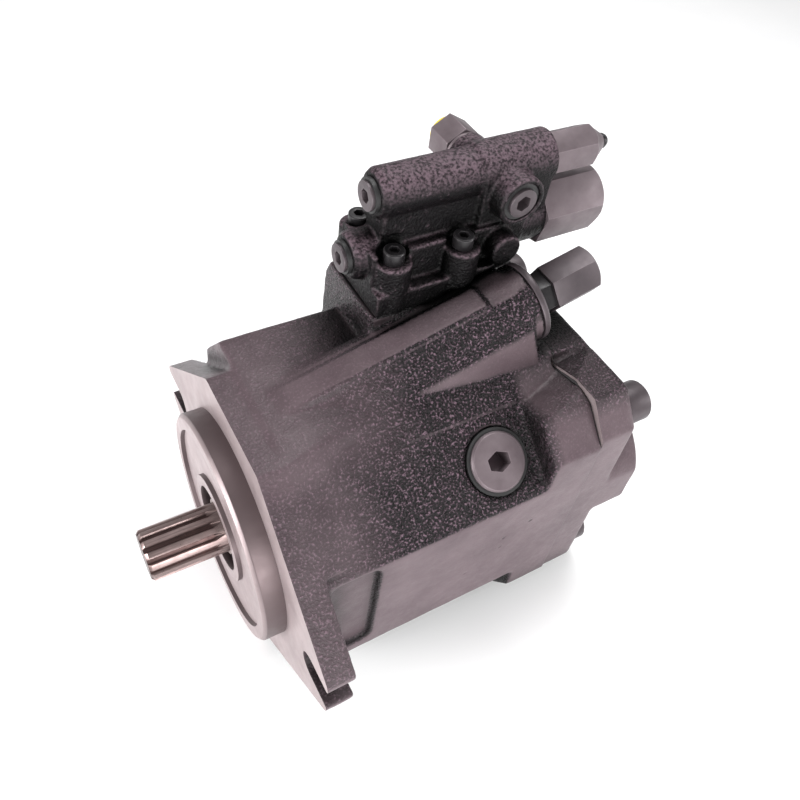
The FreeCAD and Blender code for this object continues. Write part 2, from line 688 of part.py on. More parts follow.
def hex_cap(start, direction, length, across_flats, bore_r, bore_depth, turn=0.0):
    """Closed hexagonal cap: chamfered corners at its far end, bored from the near end."""
    direction = V(direction).normalize()
    bar = hexagon(start, direction, length, across_flats, turn)
    corner_r = across_flats / math.sqrt(3)
    dome = turned([(0, 0), (0, corner_r), (length - 1.6, corner_r), (length, across_flats / 2 - 0.6),
                   (length, 0)])
    dome.Placement = FreeCAD.Placement(start, FreeCAD.Rotation(X_DIR, direction))
    return bar.common(dome).cut(rod(start - direction, direction, bore_depth + 1, bore_r))


def stop_cap_nut():
    return hex_cap(on_incline(158.6), INCLINE, 22.5, 19.0, 4.6, 13.5)


def bias_spring_guide():
    flange = rod_x(133.0, HOUSING_END, 8.4, 0.0, BIAS_Z)
    post = rod_x(105.0, 133.5, 5.0, 0.0, BIAS_Z)
    return join([flange, post]).cut(rod_x(100.0, 131.5, 3.6, 0.0, BIAS_Z))


def bias_plunger():
    """Ball-nosed plunger that presses on the swashplate's lower arm."""
    nose = V(63.3, 0.0, BIAS_Z)
    return join([ball(nose, 5.0),
                 rod_x(63.3, 68.5, 4.4, 0.0, BIAS_Z),
                 rod_x(68.0, 71.0, 8.0, 0.0, BIAS_Z),
                 rod_x(70.5, 128.0, 3.5, 0.0, BIAS_Z)])


# ---- control valve -------------------------------------------------------------------------------
def valve_body():
    cast = [box(66.0, 128.0, 13.0, 51.0, VALVE_BOTTOM, 93.0),
            box(66.0, 136.0, 19.0, 45.0, VALVE_BOTTOM, 108.0),
            rod_x(LOWER_FRONT + 1.5, VALVE_END, 9.6, VALVE_Y, LOWER_Z),
            box(72.0, VALVE_END - 2.0, 24.0, 40.0, LOWER_Z, UPPER_Z),
            rod_x(UPPER_FRONT + 2.0, VALVE_END, 9.7, VALVE_Y, UPPER_Z),
            rod_x(114.0, VALVE_END, 10.9, VALVE_Y, UPPER_Z),
            rod_x(114.0, VALVE_END, 12.8, VALVE_Y, LOWER_Z),
            box(114.0, VALVE_END - 1.0, 21.1, 42.9, LOWER_Z, UPPER_Z),
            Part.makeCone(8.3, 9.7, 3.0, V(UPPER_FRONT, VALVE_Y, UPPER_Z), X_DIR),
            Part.makeCone(8.3, 9.6, 3.0, V(LOWER_FRONT, VALVE_Y, LOWER_Z), X_DIR),
            rod_y(13.0, 30.0, 10.2, *SIDE_PLUG),
            rod_y(11.3, 30.0, 6.8, *LOWER_BOSS),
            rod_y(30.0, 45.0, 9.0, *FITTING)]
    for x, y in VALVE_SCREWS:
        cast.append(rod_z(VALVE_BOTTOM, VALVE_SCREW_SEAT, 7.6, x, y))
    body = join(cast)
    cuts = [bulge(180.0, 1.0),
            rod_incline(100.0, 190.0, STROKE_BOSS_R + 1.5),
            rod_x(50.0, VALVE_END + 1, SPOOL_R + SPOOL_FIT, VALVE_Y, UPPER_Z),
            rod_x(50.0, VALVE_END + 1, SPOOL_R + SPOOL_FIT, VALVE_Y, LOWER_Z),
            rod_x(UPPER_FRONT - 1, UPPER_FRONT + 10.0, PLUG_THREAD_R + 0.05, VALVE_Y, UPPER_Z),
            rod_x(LOWER_FRONT - 1, LOWER_FRONT + 10.0, PLUG_THREAD_R + 0.05, VALVE_Y, LOWER_Z),
            rod_x(VALVE_END - 8.0, VALVE_END + 1, 7.0, VALVE_Y, UPPER_Z),
            rod_x(VALVE_END - 8.0, VALVE_END + 1, 9.0, VALVE_Y, LOWER_Z),
            rod_y(12.0, 15.5, 7.9, *SIDE_PLUG),
            rod_y(12.0, 24.0, PLUG_THREAD_R + 0.05, *SIDE_PLUG),
            rod_y(38.0, 48.0, 5.5, *FITTING)]
    for x, y in VALVE_SCREWS:
        cuts.append(rod_z(VALVE_BOTTOM - 1, VALVE_SCREW_SEAT + 1, 2.7, x, y))
        cuts.append(rod_z(VALVE_SCREW_SEAT, VALVE_SCREW_SEAT + 8.0, 6.6, x, y))
    return body.cut(cuts)


def valve_gasket():
    sheet = box(66.5, 127.5, 13.5, 50.5, VALVE_SEAT_TOP, VALVE_BOTTOM)
    cuts = [bulge(180.0, 1.0)]
    for x, y in VALVE_SCREWS:
        cuts.append(rod_z(VALVE_SEAT_TOP - 1, VALVE_BOTTOM + 1, 3.0, x, y))
    return sheet.cut(cuts)


def valve_screws():
    screws = []
    for x, y in VALVE_SCREWS:
        screws.append(socket_screw(V(x, y, VALVE_SCREW_SEAT), Z_DIR, 4.25, 5.0, 2.45, 31.0, 4.0))
    return screws


def spool_plug(face_x, seat_x, z):
    """End plug of a spool bore and the thick dark ring under its head."""
    head = rod_x(face_x, face_x + 1.3, 5.7, VALVE_Y, z)
    thread = rod_x(face_x + 1.0, seat_x + 9.5, PLUG_THREAD_R, VALVE_Y, z)
    socket = hexagon(V(face_x - 1, VALVE_Y, z), X_DIR, 6.0, 5.0)
    ring = tube_x(face_x + 1.3, seat_x, 6.7, PLUG_THREAD_R, VALVE_Y, z)
    return join([head, thread]).cut(socket), ring


def spool(x0, x1, z):
    """Two lands joined by a thinner waist, with a narrow stem that reaches its spring seat."""
    length = x1 - x0
    profile = [(x0, 0), (x0, SPOOL_R), (x0 + 0.3 * length, SPOOL_R), (x0 + 0.3 * length, 2.4),
               (x0 + 0.45 * length, 2.4), (x0 + 0.45 * length, SPOOL_R), (x0 + 0.75 * length, SPOOL_R),
               (x0 + 0.75 * length, 2.4), (x0 + 0.85 * length, 2.4), (x0 + 0.85 * length, SPOOL_R),
               (x1 - 4.0, SPOOL_R), (x1 - 4.0, 2.0), (x1, 2.0), (x1, 0)]
    return turned(profile, V(0, VALVE_Y, z))


def flow_adjuster_sleeve():
    """Threaded hexagonal sleeve with a long coned end, over the flow spool's spring."""
    neck = rod_x(VALVE_END - 7.5, VALVE_END + 1.0, 6.9, VALVE_Y, UPPER_Z)
    bar = hexagon(V(VALVE_END, VALVE_Y, UPPER_Z), X_DIR, 30.0, 16.0, 27.0)
    envelope = turned([(147.0, 0), (147.0, 9.3), (169.5, 9.3), (171.0, 8.0), (FLOW_SLEEVE_END, 3.7),
                       (FLOW_SLEEVE_END, 0)], V(0, VALVE_Y, UPPER_Z))
    bore = [rod_x(140.0, 164.0, 5.2, VALVE_Y, UPPER_Z),
            rod_x(160.0, 180.0, FLOW_SCREW_R + RUNNING_FIT, VALVE_Y, UPPER_Z)]
    return join([neck, bar.common(envelope)]).cut(bore)


def flow_adjusting_screw():
    base = FLOW_SLEEVE_END + 0.2
    dome = turned([(base, 0), (base, 3.2), (base + 1.6, 3.2), (base + 2.9, 2.5), (base + 3.6, 1.3),
                   (base + 3.8, 0)], V(0, VALVE_Y, UPPER_Z))
    return join([rod_x(160.0, base + 0.5, FLOW_SCREW_R, VALVE_Y, UPPER_Z), dome])


def pressure_adjuster_cap():
    neck = rod_x(VALVE_END - 7.5, VALVE_END + 1.0, 8.9, VALVE_Y, LOWER_Z)
    cap = hexagon(V(VALVE_END, VALVE_Y, LOWER_Z), X_DIR, 34.0, 26.0, 45.0)
    envelope = turned([(147.0, 0), (147.0, 15.1), (177.0, 15.1), (179.6, 12.8), (180.3, 11.4), (180.3, 0)],
                      V(0, VALVE_Y, LOWER_Z))
    bore = [rod_x(140.0, 170.0, 6.5, VALVE_Y, LOWER_Z),
            rod_x(168.0, 177.0, PRESSURE_SCREW_R + RUNNING_FIT, VALVE_Y, LOWER_Z)]
    return join([neck, cap.common(envelope)]).cut(bore)


def pressure_adjusting_screw():
    screw = rod_x(166.0, 176.5, PRESSURE_SCREW_R, VALVE_Y, LOWER_Z)
    return screw.cut(hexagon(V(173.5, VALVE_Y, LOWER_Z), X_DIR, 5.0, 3.0))


def spring_seat(x0, z, rim_r):
    """Hat-shaped seat: a rim that carries the spring and a pip inside it."""
    return join([rod_x(x0 - 2.0, x0, rim_r, VALVE_Y, z), rod_x(x0 - 4.0, x0 - 1.5, 2.2, VALVE_Y, z)])


def side_port_plug():
    """Plug that stands almost flush in its counterbore, with a broad dark ring about its head."""
    x, z = SIDE_PLUG
    plug = join([rod_y(12.4, 15.4, 6.0, x, z), rod_y(14.0, 23.0, PLUG_THREAD_R, x, z)])
    plug = plug.cut(hexagon(V(x, 11.0, z), Y_DIR, 6.0, 6.0))
    ring = rod_y(13.9, 15.5, 7.85, x, z).cut(rod_y(13.0, 16.0, 6.02, x, z))
    return plug, ring


def signal_port_fitting():
    x, z = FITTING
    bar = hexagon(V(x, 47.0, z), Y_DIR, 12.5, 16.0)
    body = join([rod_y(38.5, 47.5, 5.45, x, z), rod_y(45.0, 47.2, 7.6, x, z), bar,
                 rod_y(59.0, 60.2, 6.0, x, z)])
    return body.cut(rod_y(37.0, 70.0, 3.4, x, z))


def signal_port_cap():
    """Thin plastic transport plug with a stem in the fitting's bore."""
    x, z = FITTING
    return join([rod_y(60.2, 61.6, 6.6, x, z), rod_y(51.0, 60.5, 3.3, x, z)])


# ---- writing the sub-parts -----------------------------------------------------------------------
def main():
    os.makedirs("parts", exist_ok=True)
    save("pump_housing", [pump_housing()])
    save("port_plate", [port_plate()])
    save("port_plate_gasket", [port_plate_gasket()])
    save("port_plate_screws", port_plate_screws())
    for name, lower in (("upper_drain_plug", False), ("lower_drain_plug", True)):
        plug, seal = drain_plug(lower)
        save(name, [plug])
        save(name + "_seal", [seal])

    save("drive_shaft", [drive_shaft()])
    save("shaft_seal", [shaft_seal()])
    save("seal_snap_ring", [seal_snap_ring()])
    front = tapered_bearing(6.0, 22.0, COLLAR_R, 26.0, 19.2, 2.4, 16, 1)
    rear = tapered_bearing(137.5, 150.0, REAR_JOURNAL_R, 20.0, 14.2, 1.9, 14, -1)
    for name, (cone, rollers, cup) in (("front", front), ("rear", rear)):
        save(name + "_bearing_cone", [cone])
        save(name + "_bearing_rollers", rollers)
        save(name + "_bearing_cup", [cup])

    save("cylinder_block", [cylinder_block()])
    save("pistons", ring_of(PISTONS, piston()))
    save("slippers", ring_of(PISTONS, slipper()))
    save("retaining_plate", [retaining_plate()])
    save("retaining_ball", [retaining_ball()])
    save("pressure_pins", pressure_pins())
    save("block_spring", [coil(V(107.0, 0, 0), X_DIR, 10.2, 13.8, 1.1, 3.5)])
    save("block_spring_washers", block_spring_washers())
    save("valve_plate", [valve_plate()])
    save("valve_plate_pin", [valve_plate_pin()])

    save("swashplate", [swashplate()])
    save("cradle_bearings", cradle_bearings())
    save("stroking_piston", [stroking_piston()])
    save("stroking_rod", [stroking_rod()])
    save("stroking_bore_cap", [stroking_bore_cap()])
    save("stop_screw", [stop_screw()])
    save("stop_lock_nut", [stop_lock_nut()])
    save("stop_cap_nut", [stop_cap_nut()])
    save("bias_plunger", [bias_plunger()])
    save("bias_spring", [coil(V(71.0, 0, BIAS_Z), X_DIR, 62.0, 6.4, 0.9, 12)])
    save("bias_spring_guide", [bias_spring_guide()])

    save("valve_body", [valve_body()])
    save("valve_gasket", [valve_gasket()])
    save("valve_screws", valve_screws())
    for name, face_x, seat_x, z in (("flow_spool_plug", 67.5, UPPER_FRONT, UPPER_Z),
                                    ("pressure_spool_plug", 58.0, LOWER_FRONT, LOWER_Z)):
        plug, ring = spool_plug(face_x, seat_x, z)
        save(name, [plug])
        save(name + "_seal", [ring])
    save("flow_spool", [spool(84.0, 146.0, UPPER_Z)])
    save("pressure_spool", [spool(76.0, 146.0, LOWER_Z)])
    save("flow_spring", [coil(V(146.0, VALVE_Y, UPPER_Z), X_DIR, 11.9, 3.6, 0.55, 5)])
    save("pressure_spring", [coil(V(146.0, VALVE_Y, LOWER_Z), X_DIR, 17.9, 4.6, 0.8, 6)])
    save("flow_spring_seat", [spring_seat(159.9, UPPER_Z, 4.9)])
    save("pressure_spring_seat", [spring_seat(165.9, LOWER_Z, 6.2)])
    save("flow_adjuster_sleeve", [flow_adjuster_sleeve()])
    save("flow_adjusting_screw", [flow_adjusting_screw()])
    save("pressure_adjuster_cap", [pressure_adjuster_cap()])
    save("pressure_adjusting_screw", [pressure_adjusting_screw()])
    plug, ring = side_port_plug()
    save("side_port_plug", [plug])
    save("side_port_plug_seal", [ring])
    save("signal_port_fitting", [signal_port_fitting()])
    save("signal_port_cap", [signal_port_cap()])


main()
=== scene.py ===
"""Looks of the axial piston pump: cast, painted shells, turned and hexagonal steel parts, studio."""

import json
import math

import bmesh
import bpy
from mathutils import Matrix, Vector


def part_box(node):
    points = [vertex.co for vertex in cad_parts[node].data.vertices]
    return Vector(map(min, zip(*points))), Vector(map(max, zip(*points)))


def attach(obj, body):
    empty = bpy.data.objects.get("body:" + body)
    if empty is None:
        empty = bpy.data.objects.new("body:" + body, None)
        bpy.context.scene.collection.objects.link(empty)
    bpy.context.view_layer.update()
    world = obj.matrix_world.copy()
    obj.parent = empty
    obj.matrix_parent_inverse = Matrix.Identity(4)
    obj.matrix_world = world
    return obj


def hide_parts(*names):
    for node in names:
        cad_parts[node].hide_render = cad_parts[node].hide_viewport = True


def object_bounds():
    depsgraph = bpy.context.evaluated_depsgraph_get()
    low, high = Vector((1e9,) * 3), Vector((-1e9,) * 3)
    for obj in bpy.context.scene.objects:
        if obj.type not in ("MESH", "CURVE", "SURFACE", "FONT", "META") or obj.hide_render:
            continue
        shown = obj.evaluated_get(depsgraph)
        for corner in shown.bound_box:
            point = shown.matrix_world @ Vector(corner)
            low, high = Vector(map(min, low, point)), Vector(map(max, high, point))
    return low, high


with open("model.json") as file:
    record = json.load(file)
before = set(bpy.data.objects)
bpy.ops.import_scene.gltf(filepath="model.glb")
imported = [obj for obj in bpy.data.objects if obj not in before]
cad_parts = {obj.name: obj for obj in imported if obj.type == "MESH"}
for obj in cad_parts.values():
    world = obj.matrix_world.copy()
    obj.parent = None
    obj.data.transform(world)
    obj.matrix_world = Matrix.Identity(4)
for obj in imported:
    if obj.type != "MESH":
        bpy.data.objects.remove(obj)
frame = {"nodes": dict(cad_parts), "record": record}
CAD_LOW, CAD_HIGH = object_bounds()

MM = 0.001
RECORD = frame["record"]
BODY_OF = {node: body for body, nodes in RECORD["behaviour"]["bodies"].items() for node in nodes}
SLOT_OF = {part["node"]: part["material_slot"] for part in RECORD["subparts"]}
JOINT = {joint["name"]: joint for joint in RECORD["behaviour"]["joints"]}

FLANGE_FACE_X = 0.0
HOUSING_REAR_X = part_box("port_plate_gasket")[0].x
PLATE_FRONT_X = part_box("port_plate_gasket")[1].x
PORT_FACE_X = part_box("port_plate")[1].x
VALVE_REAR_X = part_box("valve_body")[1].x
VALVE_BASE_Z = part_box("valve_gasket")[1].z
BLOCK_FRONT_X = HOUSING_REAR_X - 23 * MM
INCLINE = Vector(JOINT["stop_screw_turn"]["axis"]).normalized()


# ---- node helpers --------------------------------------------------------------------------------
NOISE_BAND = (0.3, 0.7)        # where most of a noise texture's values lie
CORNER_TO_OPEN = (0.52, 0.92)  # ambient occlusion in a closed corner, and on an open surface
FLAT_TO_EDGE = (0.02, 0.25)    # how far a bevelled normal leans on a flat, and on a sharp edge
SKY_SAMPLES = 8
EDGE_SAMPLES = 4


class Shader:
    """A material under construction, with one principled shader and object coordinates.

    Noise scales are features per metre.
    """

    def __init__(self, name):
        self.material = bpy.data.materials.new(name)
        self.material.use_nodes = True
        self.tree = self.material.node_tree
        self.shader = self.tree.nodes["Principled BSDF"]
        self.place = self.tree.nodes.new("ShaderNodeTexCoord").outputs["Object"]

    def new(self, kind, inputs=None, **settings):
        node = self.tree.nodes.new(kind)
        for key, value in settings.items():
            setattr(node, key, value)
        for key, value in (inputs or {}).items():
            if isinstance(value, bpy.types.NodeSocket):
                self.tree.links.new(value, node.inputs[key])
            else:
                node.inputs[key].default_value = value
        return node

    def maths(self, operation, a, b=0.0):
        return self.new("ShaderNodeMath", {0: a, 1: b}, operation=operation).outputs[0]

    def times(self, a, b):
        return self.maths("MULTIPLY", a, b)

    def largest(self, first, *others):
        for other in others:
            first = self.maths("MAXIMUM", first, other)
        return first

    def squeeze(self, value, low, high, to_low=0.0, to_high=1.0):
        """Maps low..high to to_low..to_high, and holds the value there outside that."""
        inputs = {"Value": value, "From Min": low, "From Max": high, "To Min": to_low, "To Max": to_high}
        return self.new("ShaderNodeMapRange", inputs).outputs["Result"]

    def along_axes(self):
        """The object coordinates, as sockets X, Y and Z."""
        return self.new("ShaderNodeSeparateXYZ", {0: self.place}).outputs

    def reach(self):
        """Distance from the shaft's axis."""
        place = self.along_axes()
        across = self.new("ShaderNodeCombineXYZ", {1: place["Y"], 2: place["Z"]}).outputs[0]
        return self.new("ShaderNodeVectorMath", {0: across}, operation="LENGTH").outputs["Value"]

    def noise(self, scale, detail=4.0, roughness=0.55, place=None):
        inputs = {"Vector": place or self.place, "Scale": scale, "Detail": detail, "Roughness": roughness}
        return self.new("ShaderNodeTexNoise", inputs).outputs["Fac"]

    def streaks(self, along, across, detail, roughness):
        """Noise drawn out along the shaft."""
        inputs = {"Vector": self.place, "Scale": (along, across, across)}
        return self.noise(1.0, detail, roughness, self.new("ShaderNodeMapping", inputs).outputs[0])

    def cells(self, scale):
        """Distance from the nearest of some scattered points."""
        inputs = {"Vector": self.place, "Scale": scale, "Randomness": 1.0}
        return self.new("ShaderNodeTexVoronoi", inputs, feature="F1").outputs["Distance"]

    def ramp(self, value, stops):
        node = self.new("ShaderNodeValToRGB", {"Fac": value})
        elements = node.color_ramp.elements
        while len(elements) < len(stops):
            elements.new(0.5)
        for element, (position, colour) in zip(elements, stops):
            element.position = position
            element.color = (*colour, 1.0)
        return node.outputs["Color"]

    def blend(self, factor, a, b):
        node = self.new("ShaderNodeMix", data_type="RGBA")
        self.tree.links.new(factor, node.inputs[0])
        for socket, value in ((node.inputs[6], a), (node.inputs[7], b)):
            if isinstance(value, bpy.types.NodeSocket):
                self.tree.links.new(value, socket)
            else:
                socket.default_value = (*value, 1.0)
        return node.outputs[2]

    def two_tone(self, value, low, high):
        return self.ramp(value, list(zip(NOISE_BAND, (low, high))))

    def varied(self, value, low, high):
        """A noise value spread over low..high."""
        return self.squeeze(value, *NOISE_BAND, low, high)

    def relief(self, height, distance, strength):
        inputs = {"Height": height, "Distance": distance, "Strength": strength}
        return self.new("ShaderNodeBump", inputs).outputs["Normal"]

    def edges(self, radius):
        """1 along sharp edges, 0 on open surfaces."""
        bevel = self.new("ShaderNodeBevel", {"Radius": radius}, samples=EDGE_SAMPLES).outputs["Normal"]
        normal = self.new("ShaderNodeNewGeometry").outputs["Normal"]
        apart = self.new("ShaderNodeVectorMath", {0: bevel, 1: normal}, operation="DISTANCE")
        return self.squeeze(apart.outputs["Value"], *FLAT_TO_EDGE)

    def facing(self, direction, low, high):
        """1 where the surface faces `direction` in the object's own frame."""
        normal = self.new("ShaderNodeNewGeometry").outputs["Normal"]
        along = self.new("ShaderNodeVectorMath", {0: normal, 1: direction}, operation="DOT_PRODUCT")
        return self.squeeze(along.outputs["Value"], low, high)

    def open_sky(self, distance):
        """1 on open surfaces, falling to 0 in corners and under overhangs."""
        node = self.new("ShaderNodeAmbientOcclusion", {"Distance": distance}, samples=SKY_SAMPLES)
        return self.squeeze(node.outputs["AO"], *CORNER_TO_OPEN)

    def set(self, **sockets):
        for key, value in sockets.items():
            socket = self.shader.inputs[key.replace("_", " ").title().replace("Ior", "IOR")]
            if isinstance(value, bpy.types.NodeSocket):
                self.tree.links.new(value, socket)
            elif isinstance(value, tuple):
                socket.default_value = (*value, 1.0)
            else:
                socket.default_value = value
        return self.material


# ---- castings' materials -------------------------------------------------------------------------
DEEP_SHADE = (0.001, 0.001, 0.001)

# grainy paint: its dark stops are painted shade on the flanks, its pale stop painted glints of light
SHADED_GRAIN_AND_GLINTS = [(0.42, (0.0015, 0.0008, 0.0012)), (0.55, (0.014, 0.008, 0.011)), (0.69, (0.150, 0.096, 0.124))]
CALM_PAINT = ((0.092, 0.064, 0.073), (0.140, 0.103, 0.114))
RUBBED_PAINT = (0.13, 0.10, 0.112)
PIT_COLOUR = (0.004, 0.003, 0.004)

# the casting's skin is calm and paler on its side, at the rear block, on the crown behind the flange, near
# the
# flange and on the bulge's panel; the paler paint on the side, the crown and the panel is painted light:
# from where to where each fades in, and how far
BLOCK_ALONG = (BLOCK_FRONT_X, BLOCK_FRONT_X + 5 * MM)
BLOCK_BELOW = (66 * MM, 58 * MM)
CROWN_ABOVE = (46 * MM, 60 * MM)
CROWN_ALONG = (70 * MM, 25 * MM)
FLANGE_ALONG = (46 * MM, 26 * MM)
PANEL_ABOVE = (62 * MM, 68 * MM)
# how strongly each region takes the paler calm paint; on the side, the crown and the panel this is painted
# light
SIDE_CALM_AND_LIT = 0.9
BLOCK_CALM = 0.85
CROWN_CALM_AND_LIT = 0.72
FLANGE_CALM = 0.45
PANEL_CALM_AND_LIT = 0.8

# valve: nearly black paint darkened further as painted shade; its paler top colour is painted light
VALVE_BLACK_AND_SHADE = (0.0030, 0.0022, 0.0028)
VALVE_TOP_SHEEN = (0.125, 0.086, 0.104)
VALVE_GLINT = (0.16, 0.115, 0.135)
VALVE_RUBBED = (0.15, 0.11, 0.125)

IRON_STOPS = [(0.32, (0.27, 0.215, 0.22)), (0.68, (0.37, 0.305, 0.31))]
IRON_STAIN = (0.17, 0.125, 0.128)
SHADED_IRON_RIM = (0.115, 0.085, 0.088)
TOOL_MARKS = 9000.0            # radians per metre from the shaft's axis


def cast_paint():
    """Dark plum-grey satin paint over sand-cast iron: grainy flanks darkened as painted shade and speckled
    with painted glints, calmer side and block faces, and painted light on the side, the crown behind the
    flange and the bulge's panel.
    """
    s = Shader("cast_paint")
    place = s.along_axes()
    grain = s.noise(1050, 2, 0.5)
    fine = s.noise(2300, 2, 0.6)
    # painted light: the side face, the crown and the bulge's panel take the paler calm paint
    side = s.facing((0.0, -1.0, 0.0), 0.86, 0.97)
    block = s.times(s.squeeze(place["X"], *BLOCK_ALONG), s.squeeze(place["Z"], *BLOCK_BELOW, 0.0, BLOCK_CALM))
    crown = s.times(s.squeeze(place["Z"], *CROWN_ABOVE), s.squeeze(place["X"], *CROWN_ALONG, 0.0, CROWN_CALM_AND_LIT))
    flange = s.squeeze(place["X"], *FLANGE_ALONG, 0.0, FLANGE_CALM)
    panel = s.times(s.facing((-INCLINE.z, 0.0, INCLINE.x), 0.93, 0.985), PANEL_CALM_AND_LIT)
    panel = s.times(panel, s.squeeze(place["Z"], *PANEL_ABOVE))
    # calm paint mask, which also carries the painted light of the side, the crown and the panel
    smooth = s.largest(s.times(side, SIDE_CALM_AND_LIT), block, crown, flange, panel)
    coarse = s.maths("SUBTRACT", 1.0, smooth)

    pits = s.squeeze(s.cells(75), 0.0, 0.10, 1.0, 0.0)
    pits = s.times(s.times(pits, s.squeeze(s.noise(28, 1), 0.56, 0.6)), side)
    calm = s.two_tone(s.noise(45, 4, 0.6), *CALM_PAINT)
    # the coarse flanks get the grain's painted shade and painted glints, the calm areas the paler paint
    coloured = s.blend(coarse, calm, s.ramp(grain, SHADED_GRAIN_AND_GLINTS))
    worn = s.times(s.edges(0.8 * MM), s.squeeze(s.noise(420, 3), 0.46, 0.7, 0.0, 0.35))
    coloured = s.blend(worn, coloured, RUBBED_PAINT)
    coloured = s.blend(pits, coloured, PIT_COLOUR)
    coloured = s.blend(s.open_sky(34 * MM), DEEP_SHADE, coloured)

    rough = s.maths("SUBTRACT", s.varied(s.noise(340, 3), 0.36, 0.46), s.times(coarse, 0.14))
    height = s.times(s.maths("ADD", grain, s.times(fine, 0.3)), coarse)
    bumped = s.relief(s.maths("SUBTRACT", height, s.times(pits, 1.2)), 0.9 * MM, 1.0)
    return s.set(base_color=coloured, roughness=rough, normal=bumped, metallic=0.0, specular_ior_level=0.2)


def valve_paint():
    """Nearly black paint on the valve's casting, darkened further as painted shade on its sides, with painted
    light where it faces up, painted glints, and edges worn paler.
    """
    s = Shader("valve_paint")
    grain = s.noise(900, 2, 0.5)
    fine = s.noise(2100, 2, 0.6)
    # painted light on faces turned up; the other faces keep the near-black painted shade
    lit_top = s.times(s.facing((0.0, -0.25, 0.97), 0.25, 0.95), s.squeeze(grain, 0.38, 0.62, 0.15, 1.1))
    coloured = s.blend(lit_top, VALVE_BLACK_AND_SHADE, VALVE_TOP_SHEEN)
    glints = s.times(s.squeeze(s.noise(520, 3), 0.60, 0.68), s.squeeze(grain, 0.5, 0.7, 0.0, 0.5))
    coloured = s.blend(glints, coloured, VALVE_GLINT)
    worn = s.times(s.edges(0.7 * MM), s.squeeze(s.noise(420, 3), 0.44, 0.66, 0.0, 0.4))
    coloured = s.blend(worn, coloured, VALVE_RUBBED)
    coloured = s.blend(s.open_sky(26 * MM), DEEP_SHADE, coloured)
    height = s.maths("ADD", grain, s.times(fine, 0.3))
    return s.set(base_color=coloured, roughness=s.varied(s.noise(340, 3), 0.30, 0.44),
                 normal=s.relief(height, 0.7 * MM, 0.9), specular_ior_level=0.14)


def machined_face():
    """Bare milled or turned iron: pale, faintly pink, with fine tool marks, and darker as painted shade where
    it doesn't face along the shaft.
    """
    s = Shader("machined_face")
    rings = s.maths("SINE", s.times(s.reach(), TOOL_MARKS))
    base = s.ramp(s.noise(38, 5, 0.6), IRON_STOPS)
    coloured = s.blend(s.squeeze(s.noise(160, 4, 0.65), 0.56, 0.8, 0.0, 0.5), base, IRON_STAIN)
    # faces along the shaft keep the pale iron; rims and other faces get painted shade
    ends = s.largest(s.facing((-1.0, 0.0, 0.0), 0.5, 0.85), s.facing((1.0, 0.0, 0.0), 0.5, 0.85))
    coloured = s.blend(ends, SHADED_IRON_RIM, coloured)
    height = s.maths("ADD", s.times(rings, 0.25), s.noise(2200, 2))
    return s.set(base_color=coloured, roughness=s.varied(s.noise(120, 4), 0.36, 0.52), metallic=0.55,
                 normal=s.relief(height, 0.03 * MM, 0.55))


# ---- other materials -----------------------------------------------------------------------------
PALE_STEEL = ((0.108, 0.082, 0.091), (0.160, 0.128, 0.139))
DARK_STEEL = ((0.052, 0.041, 0.046), (0.084, 0.067, 0.074))
SHAFT_TIPS = ((0.19, 0.135, 0.13), (0.32, 0.245, 0.235))
SHAFT_TOOTH_ROOTS = (0.055, 0.030, 0.028)
SHAFT_STAIN = (0.14, 0.085, 0.075)
SPLINE_DEPTH = (9.4 * MM, 10.9 * MM)
OXIDE_EDGE = (0.13, 0.12, 0.125)


def phosphated_steel(name, low, high):
    """Hexagonal and turned steel fittings with a satin phosphate finish and brighter edges."""
    s = Shader(name)
    base = s.two_tone(s.noise(90, 4, 0.6), low, high)
    bright = tuple(1.7 * channel for channel in high)
    coloured = s.blend(s.times(s.edges(0.35 * MM), 0.65), base, bright)
    height = s.maths("ADD", s.streaks(120.0, 2600.0, 2, 0.5), s.times(s.noise(1800, 2), 0.6))
    return s.set(base_color=coloured, roughness=s.varied(s.noise(260, 3), 0.38, 0.5), metallic=0.4,
                 normal=s.relief(height, 0.02 * MM, 0.5))


def spline_steel():
    """Hobbed shaft: dark brown between the teeth, brighter on the tips and the ground collar."""
    s = Shader("spline_steel")
    streaks = s.streaks(60.0, 1200.0, 4, 0.6)
    coloured = s.blend(s.squeeze(s.reach(), *SPLINE_DEPTH), SHAFT_TOOTH_ROOTS, s.two_tone(streaks, *SHAFT_TIPS))
    coloured = s.blend(s.squeeze(s.noise(110, 4, 0.65), 0.55, 0.75, 0.0, 0.5), coloured, SHAFT_STAIN)
    return s.set(base_color=coloured, roughness=s.varied(s.noise(300, 3), 0.26, 0.42), metallic=0.85,
                 normal=s.relief(streaks, 0.05 * MM, 0.6))


def black_oxide():
    s = Shader("black_steel")
    coloured = s.two_tone(s.noise(150, 4), (0.010, 0.009, 0.010), (0.022, 0.020, 0.022))
    coloured = s.blend(s.times(s.edges(0.3 * MM), 0.5), coloured, OXIDE_EDGE)
    return s.set(base_color=coloured, roughness=s.varied(s.noise(400, 3), 0.26, 0.40), metallic=0.4,
                 normal=s.relief(s.noise(2400, 2), 0.02 * MM, 0.5))


def rubber():
    s = Shader("seal_rubber")
    coloured = s.two_tone(s.noise(200, 3), (0.008, 0.008, 0.008), (0.016, 0.015, 0.016))
    return s.set(base_color=coloured, roughness=s.varied(s.noise(500, 2), 0.45, 0.62),
                 normal=s.relief(s.noise(3000, 2), 0.02 * MM, 0.4))


def gasket_sheet():
    s = Shader("gasket_sheet")
    fibres = s.noise(1400, 5, 0.7)
    coloured = s.two_tone(fibres, (0.012, 0.011, 0.012), (0.040, 0.036, 0.038))
    return s.set(base_color=coloured, roughness=s.varied(fibres, 0.6, 0.8))


